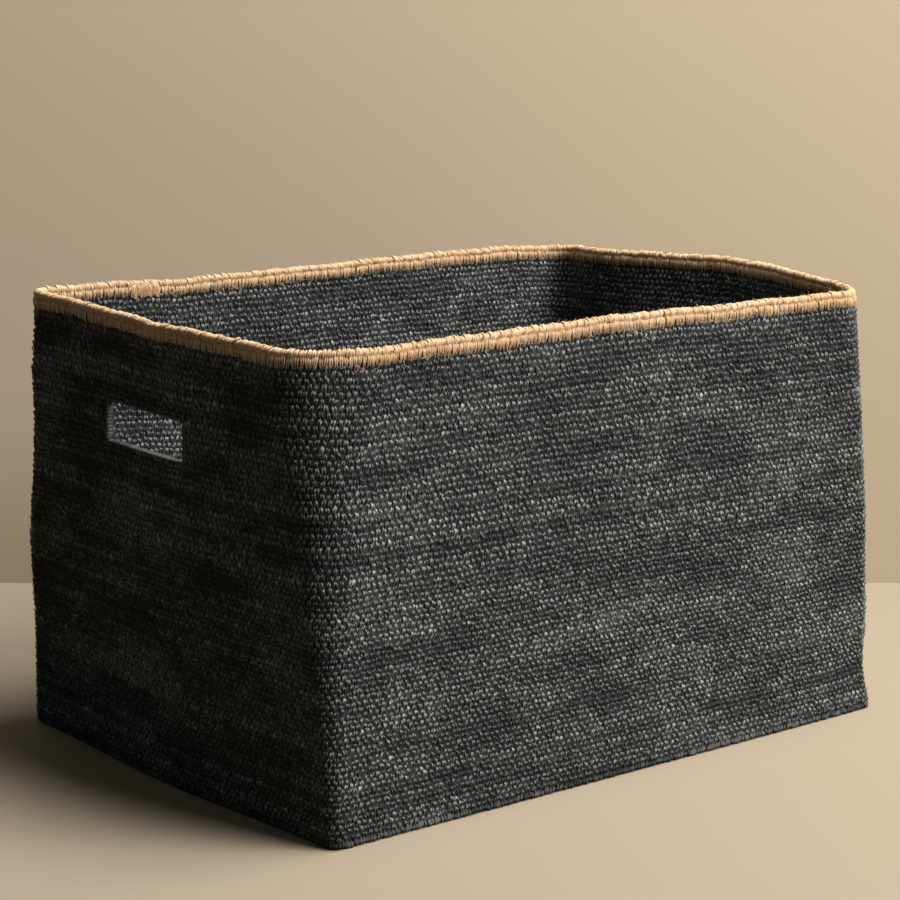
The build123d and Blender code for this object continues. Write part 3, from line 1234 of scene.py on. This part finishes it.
@dataclass
class Floor:
    """The basket's floor: a stitched mat seen from above and below, and the stout round at its edge.

    Each section of one of the mat's stitches is (outward, sideways, half width, lift). Outward is
    in round widths, sideways and half width are in stitch widths, and lift is in millimetres.
    """

    stitcher: Stitcher
    material: bpy.types.Material
    core_material: bpy.types.Material
    round_width: float = 4.3 * MM
    stitch_width: float = 4.7 * MM
    edge_drop: float = 0.5 * MM
    backing_depth: float = 1.5 * MM
    backing_ridge: float = 80 * MM
    lowest: float = 0.1 * MM
    core_out: float = -2.5 * MM
    core_radius: float = 1.9 * MM
    edge_looseness: Looseness = field(
        default_factory=lambda: Looseness(0.16, 0.0, 0.15 * MM, 0.14, 0.34, 0.3, 0.07)
    )
    sections: tuple[tuple[float, float, float, float], ...] = (
        (-0.62, 0.30, 0.10, -0.65),
        (0.0, 0.17, 0.19, 0.0),
        (0.60, 0.12, 0.12, -0.75),
    )

    def build(self) -> list[bpy.types.Object]:
        """Makes the mat's two faces, its edge and the bundle in the edge."""
        pieces = [self.mat("mat_top", True), self.mat("mat_underside", False), self.edge()]
        nodes = ("base_edge_round", "base_edge_core")
        pieces.append(
            self.stitcher.core(
                "base_edge_grass", self.core_material, nodes, self.core_out, self.core_radius, False
            )
        )
        return pieces

    def places(self, level: float, first: float) -> tuple[np.ndarray, np.ndarray]:
        """Where the mat's stitches are, in rectangular rounds from the edge to the middle.

        Args:
            level: Height of the mat's face.
            first: How far in from the basket's outside the outermost round begins.

        Returns:
            For each stitch, its place in plan and the way along its round.
        """
        form = self.stitcher.form
        rings = int(((form.base_edges[2] - form.base_edges[0]) / 2 - first) / self.round_width)
        places, runs = [], []
        for k in range(rings):
            line = PlanLine(form.outline(level, first + (k + 0.5) * self.round_width))
            count = max(4, round(line.length / self.stitch_width))
            along = (np.arange(count) + 0.5 * (k % 2)) / count * line.length
            places.append(line.at(along))
            runs.append(unit(line.at(along + 2 * MM) - places[-1]))
        return np.concatenate(places), np.concatenate(runs)

    def mat(self, name: str, top: bool) -> bpy.types.Object:
        """One face of the mat: its stitches, and a dark sheet behind them."""
        draw = self.stitcher.random
        low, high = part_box("base_panel")
        level, facing = (high.z, 1) if top else (low.z, -1)
        first = self.stitcher.form.wall * 0.9
        place, run = [parts[:, None, None] for parts in self.places(level, first)]
        count = len(place)
        up, aside, half, lift = map(down, np.array(self.sections).T)
        blank = np.zeros((count, up.size, ACROSS.size))
        # Crown of each mat stitch: a mask for the painted highlight in its middle.
        crown = np.clip(1 - np.abs(up) / 0.7, 0, 1) + blank
        reach = up * self.round_width + blank
        tone = draw.uniform(0, 1, count)
        sheaf = Sheaf()
        for hand in (-1, 1):
            side = (hand * aside + half * ACROSS) * self.stitch_width + blank
            flat = place + run * side[..., None] + beside(run) * reach[..., None]
            proud = lift * MM - self.edge_drop * ACROSS**2
            proud = proud + each(draw.uniform(-0.15, 0.0, count)) * MM
            points = np.concatenate((flat, (level + facing * proud)[..., None]), -1)
            strand = each(np.clip(tone + draw.normal(0, 0.13, count), 0, 1)) + blank
            grain = np.stack((side * 900 + strand * 90, reach * 250, crown), -1)
            if not top:
                points, flat = points[:, :, ::-1], flat[:, :, ::-1]
            sheaf.add_strips(points, strand, grain, flat)
        self.backing(sheaf, level - facing * self.backing_depth, facing, first)
        return sheaf.piece(name, self.material, Slot.BLACK, "base_panel")

    def backing(self, sheaf: Sheaf, level: float, facing: int, first: float) -> None:
        """Closes the mat behind its stitches with one flat sheet."""
        edge = self.stitcher.form.outline(level, first)
        centre = edge[:, 0].mean()
        middle = edge * (1.0, 0.0)
        middle[:, 0] = middle[:, 0].clip(centre - self.backing_ridge, centre + self.backing_ridge)
        flat = np.stack((edge, middle) if facing < 0 else (middle, edge))
        flat = np.concatenate((flat, flat[:, :1]), 1)
        sheaf.add_dark(np.concatenate((flat, np.full((*flat.shape[:2], 1), level)), -1), flat)

    def edge(self) -> bpy.types.Object:
        """The stout round at the floor's edge."""
        node = "base_edge_round"
        sheaf = Sheaf()
        usual = self.stitcher.looseness
        self.stitcher.looseness = self.edge_looseness
        self.stitcher.whole_round(
            sheaf, BASE_EDGE_STITCH, Face.OUTER, node, BASE_EDGE_ROW, waving=False
        )
        self.stitcher.looseness = usual
        for points in sheaf.points:
            points[:, 2] = np.maximum(points[:, 2], self.lowest)
        return sheaf.piece("base_edge_stitches", self.material, Slot.BLACK, node)


@dataclass
class Fibres:
    """Loose hairs of grass that stand off the walls and the rim."""

    stitcher: Stitcher
    keep: Keep

    def scatter(
        self,
        name: str,
        material: bpy.types.Material,
        slot: Slot,
        heights: tuple[float, float],
        count: int,
        length: tuple[float, float],
        stand_off: float,
        spread: float,
        thickness: float,
    ) -> bpy.types.Object:
        """Scatters hairs over part of the outside and the inside.

        Args:
            name: Name of the piece.
            material: Its finish.
            slot: Its material slot.
            heights: Lowest and highest place of the hairs.
            count: How many hairs.
            length: Shortest and longest hair.
            stand_off: How far a hair's tip stands off the stitches.
            spread: How far the hairs turn from upright, in radians.
            thickness: Width of a hair at its root.

        Returns:
            The piece.
        """
        form, draw = self.stitcher.form, self.stitcher.random
        sheaf = Sheaf()
        girth = form.girth(float(np.mean(heights)))
        way = down(np.linspace(0, 1, 5))
        thin = thickness * (1 - 0.6 * way) * (-0.5, 0.5)
        for face, share in ((Face.OUTER, 0.65), (Face.INNER, 0.35)):
            some = int(count * share)
            u = each(draw.uniform(0, 1, some))
            z = each(draw.uniform(*heights, some))
            upright = draw.choice((-0.5, 0.5), some) * np.pi
            heading = each(upright + draw.uniform(-spread, spread, some))
            size = each(draw.uniform(*length, some))
            angle = heading + each(draw.uniform(-1.4, 1.4, some)) * way
            off = stand_off * each(draw.uniform(0.2, 1.0, some)) * way**1.5
            at_u = u + (size * way * np.cos(angle) - thin * np.sin(angle)) / girth
            at_z = z + size * way * np.sin(angle) + thin * np.cos(angle)
            at_z = at_z + self.stitcher.lie.rise(at_u, at_z)
            at_z = np.clip(at_z, 3 * MM, heights[1] + 2 * MM)
            depth = 0.4 * MM + off + np.zeros_like(at_u)
            kept = self.keep(at_u, at_z).all(axis=(1, 2))
            at_u, at_z, depth = at_u[kept], at_z[kept], depth[kept]
            if face is Face.INNER:
                at_u, at_z, depth = at_u[..., ::-1], at_z[..., ::-1], depth[..., ::-1]
            points = form.at(at_u, at_z, self.stitcher.out_of(face, depth))
            blank = np.zeros_like(at_u)
            tone = each(draw.uniform(0, 1, len(points))) + blank
            grain = np.stack((blank + 3, tone * 50, tone * 1.2 - 0.4), -1)
            sheaf.add_strips(points, tone, grain, np.stack((at_u, at_z), -1))
        return sheaf.piece(name, material, slot)


# ---------------------------------------------------------------------------------------------
# Studio
# ---------------------------------------------------------------------------------------------
@dataclass(frozen=True)
class Studio:
    """Pale floor and backdrop, soft light from the right, faint light from behind, and the camera.

    The stage throws back less light on to the basket than the camera sees, as in a dark room.
    Ways and places named "seen" are (to the right, ahead, up) as the camera looks.
    """

    camera_place: tuple[float, float, float] = (-1.2024, -1.4530, 0.5674)
    heading: float = 0.6840
    dip: float = 0.1937
    lens: float = 105.1
    sensor: float = 36.0
    half_width: float = 3.5
    floor_before: float = 6.0
    floor_behind: float = 4.5
    floor_colour: tuple[float, float, float] = (0.488, 0.395, 0.276)
    backdrop_distance: float = 2.277
    backdrop_height: float = 1.0
    backdrop_colour: tuple[float, float, float] = (0.885, 0.695, 0.476)
    roughness: float = 0.75
    specular: float = 0.2
    bounce: float = 0.33
    aim: tuple[float, float, float] = (0.0, 0.0, 0.15)
    key_turn: float = 22.0
    key_height: float = 40.0
    key_distance: float = 3.4
    key_size: float = 2.2
    key_power: float = 106.0
    top_way_seen: tuple[float, float, float] = (0.5, 0.05, 1.0)
    top_distance: float = 2.5
    top_size: float = 1.6
    top_power: float = 26.0
    wash_place_seen: tuple[float, float, float] = (0.4, -0.35, 1.9)
    wash_aim_height: float = 0.5
    wash_size: float = 0.8
    wash_power: float = 14.5
    rear_way: tuple[float, float, float] = (0.2, 1.0, 0.45)
    rear_distance: float = 2.6
    rear_size: float = 1.6
    rear_power: float = 6.0
    sky: float = 0.044
    sky_colour: tuple[float, float, float] = (0.82, 0.93, 1.0)
    distance_colour: tuple[float, float, float] = (0.50, 0.38, 0.25)

    @property
    def foot(self) -> Vector:
        """The middle of the backdrop's foot."""
        x, y, _ = self.camera_place
        return Vector((x, y, 0)) + self.seen(0, self.backdrop_distance, 0)

    def seen(self, right: float, ahead: float, up: float) -> Vector:
        """A way that is given as the camera looks: to the right, ahead and up."""
        rightward = Vector((math.cos(self.heading), -math.sin(self.heading), 0))
        forward = Vector((math.sin(self.heading), math.cos(self.heading), 0))
        return rightward * right + forward * ahead + Vector((0, 0, up))

    @staticmethod
    def tint(
        wire: Wiring, thrown: tuple[float, float, float], share: float,
        shown: tuple[float, float, float],
    ) -> bpy.types.NodeSocket:
        """Makes a colour that looks one way to the camera and another way to the light.

        Args:
            wire: The nodes to add to.
            thrown: The colour that lights the basket.
            share: How much of that colour is thrown.
            shown: The colour that the camera sees.

        Returns:
            The colour's output.
        """
        to_camera = wire.add("ShaderNodeLightPath", {}, "Is Camera Ray")
        return wire.mix(to_camera, (*(share * part for part in thrown), 1), (*shown, 1))

    def surface(
        self, name: str, colour: tuple[float, float, float], one_sided: bool
    ) -> bpy.types.Material:
        """Pale matt finish; a one-sided surface can't be seen from behind and casts no shadow."""
        material = bpy.data.materials.new(name)
        material.use_nodes = True
        nodes = material.node_tree.nodes
        shader = nodes["Principled BSDF"]
        wire = Wiring(material.node_tree)
        wire.feed(shader.inputs["Base Color"], self.tint(wire, colour, self.bounce, colour))
        shader.inputs["Roughness"].default_value = self.roughness
        shader.inputs["Specular IOR Level"].default_value = self.specular
        if one_sided:
            behind = wire.add("ShaderNodeNewGeometry", {}, "Backfacing")
            shadow = wire.add("ShaderNodeLightPath", {}, "Is Shadow Ray")
            clear = wire.add("ShaderNodeBsdfTransparent", {})
            either = wire.sum("MAXIMUM", behind, shadow)
            both = wire.add("ShaderNodeMixShader", {0: either, 1: shader.outputs[0], 2: clear})
            wire.feed(nodes["Material Output"].inputs["Surface"], both)
        return material

    def plane(
        self, name: str, corners: list[tuple[float, float, float]], material: bpy.types.Material
    ) -> None:
        """Adds one flat stage surface, from its corners as seen from the backdrop's foot."""
        mesh = bpy.data.meshes.new(name)
        mesh.from_pydata([tuple(self.foot + self.seen(*c)) for c in corners], [], [(0, 1, 2, 3)])
        mesh.materials.append(material)
        thing = bpy.data.objects.new(name, mesh)
        bpy.context.scene.collection.objects.link(thing)

    def lamp(self, name: str, place: Vector, away: Vector, size: float, power: float) -> None:
        """Adds one soft round lamp that shines back along the direction it lies in."""
        light = bpy.data.lights.new(name, "AREA")
        light.shape = "DISK"
        light.size = size
        light.energy = power
        lamp = bpy.data.objects.new(name, light)
        lamp.location = place
        lamp.rotation_euler = away.to_track_quat("Z", "Y").to_euler()
        bpy.context.scene.collection.objects.link(lamp)

    def air(self) -> bpy.types.World:
        """The faint even light from all round, and the pale distance past the floor."""
        world = bpy.data.worlds.new("studio_air")
        world.use_nodes = True
        colour = self.tint(Wiring(world.node_tree), self.sky_colour, self.sky, self.distance_colour)
        world.node_tree.links.new(colour, world.node_tree.nodes["Background"].inputs["Color"])
        return world

    def stage(self) -> None:
        """Makes the floor and the backdrop."""
        wide, before, behind = self.half_width, self.floor_before, self.floor_behind
        top = self.backdrop_height
        self.plane(
            "studio_floor",
            [(-wide, behind, 0), (-wide, -before, 0), (wide, -before, 0), (wide, behind, 0)],
            self.surface("studio_floor_paint", self.floor_colour, False),
        )
        self.plane(
            "studio_backdrop",
            [(-wide, 0, 0), (wide, 0, 0), (wide, 0, top), (-wide, 0, top)],
            self.surface("studio_backdrop_paint", self.backdrop_colour, True),
        )

    def lights(self) -> None:
        """Makes the lamps."""
        aim = Vector(self.aim)
        turn, lift = math.radians(self.key_turn), math.radians(self.key_height)
        level = math.cos(lift)
        key = self.seen(math.cos(turn) * level, -math.sin(turn) * level, math.sin(lift))
        self.lamp("soft_key", aim + key * self.key_distance, key, self.key_size, self.key_power)
        over = self.seen(*self.top_way_seen).normalized()
        self.lamp("soft_top", aim + over * self.top_distance, over, self.top_size, self.top_power)
        hung = self.seen(*self.wash_place_seen)
        wash = (hung - Vector((0, 0, self.wash_aim_height))).normalized()
        self.lamp("backdrop_wash", self.foot + hung, wash, self.wash_size, self.wash_power)
        rear = Vector(self.rear_way).normalized()
        self.lamp("soft_rear", aim + rear * self.rear_distance, rear, self.rear_size, self.rear_power)

    def camera(self) -> None:
        """Makes the camera."""
        lens = bpy.data.cameras.new("camera")
        lens.lens = self.lens
        lens.sensor_width = self.sensor
        camera = bpy.data.objects.new("camera", lens)
        camera.location = self.camera_place
        camera.rotation_euler = (math.pi / 2 - self.dip, 0, -self.heading)
        bpy.context.scene.collection.objects.link(camera)
        bpy.context.scene.camera = camera
        bpy.context.scene.view_settings.view_transform = "Standard"

    def build(self) -> None:
        """Makes the stage, the lights and the camera."""
        self.stage()
        self.lights()
        bpy.context.scene.world = self.air()
        self.camera()


def main() -> None:
    """Builds the basket piece by piece, then the studio."""
    logging.basicConfig(level=logging.INFO, format="%(name)s %(message)s")
    form = BasketForm()
    lie = Lie(form)
    stitcher = Stitcher(form, lie)
    black = BLACK_GRASS.material()
    natural = NATURAL_GRASS.material()
    dark_core = DARK_CORE_GRASS.material()
    walls = Walls(stitcher, black)
    LOG.info("wall pieces: %d", len(walls.build()))
    LOG.info("rim pieces: %d", len(Rim(stitcher, natural, CORE_GRASS.material()).build()))
    LOG.info("slot pieces: %d", len(SlotBindings(stitcher, GREY_GRASS.material()).build()))
    LOG.info("floor pieces: %d", len(Floor(stitcher, black, dark_core).build()))
    top = form.height
    hairs = Fibres(stitcher, walls.clear_of_slots)
    hairs.scatter(
        "black_hairs", black, Slot.BLACK, heights=(8 * MM, top - 12 * MM), count=2500,
        length=(4 * MM, 10 * MM), stand_off=1.0 * MM, spread=math.pi, thickness=0.2 * MM,
    )
    hairs.scatter(
        "rim_hairs", natural, Slot.NATURAL, heights=(top - 11 * MM, top - 1.5 * MM), count=3000,
        length=(2 * MM, 5.5 * MM), stand_off=0.9 * MM, spread=0.7, thickness=0.34 * MM,
    )
    Studio().build()


if __name__ == "__main__":
    main()
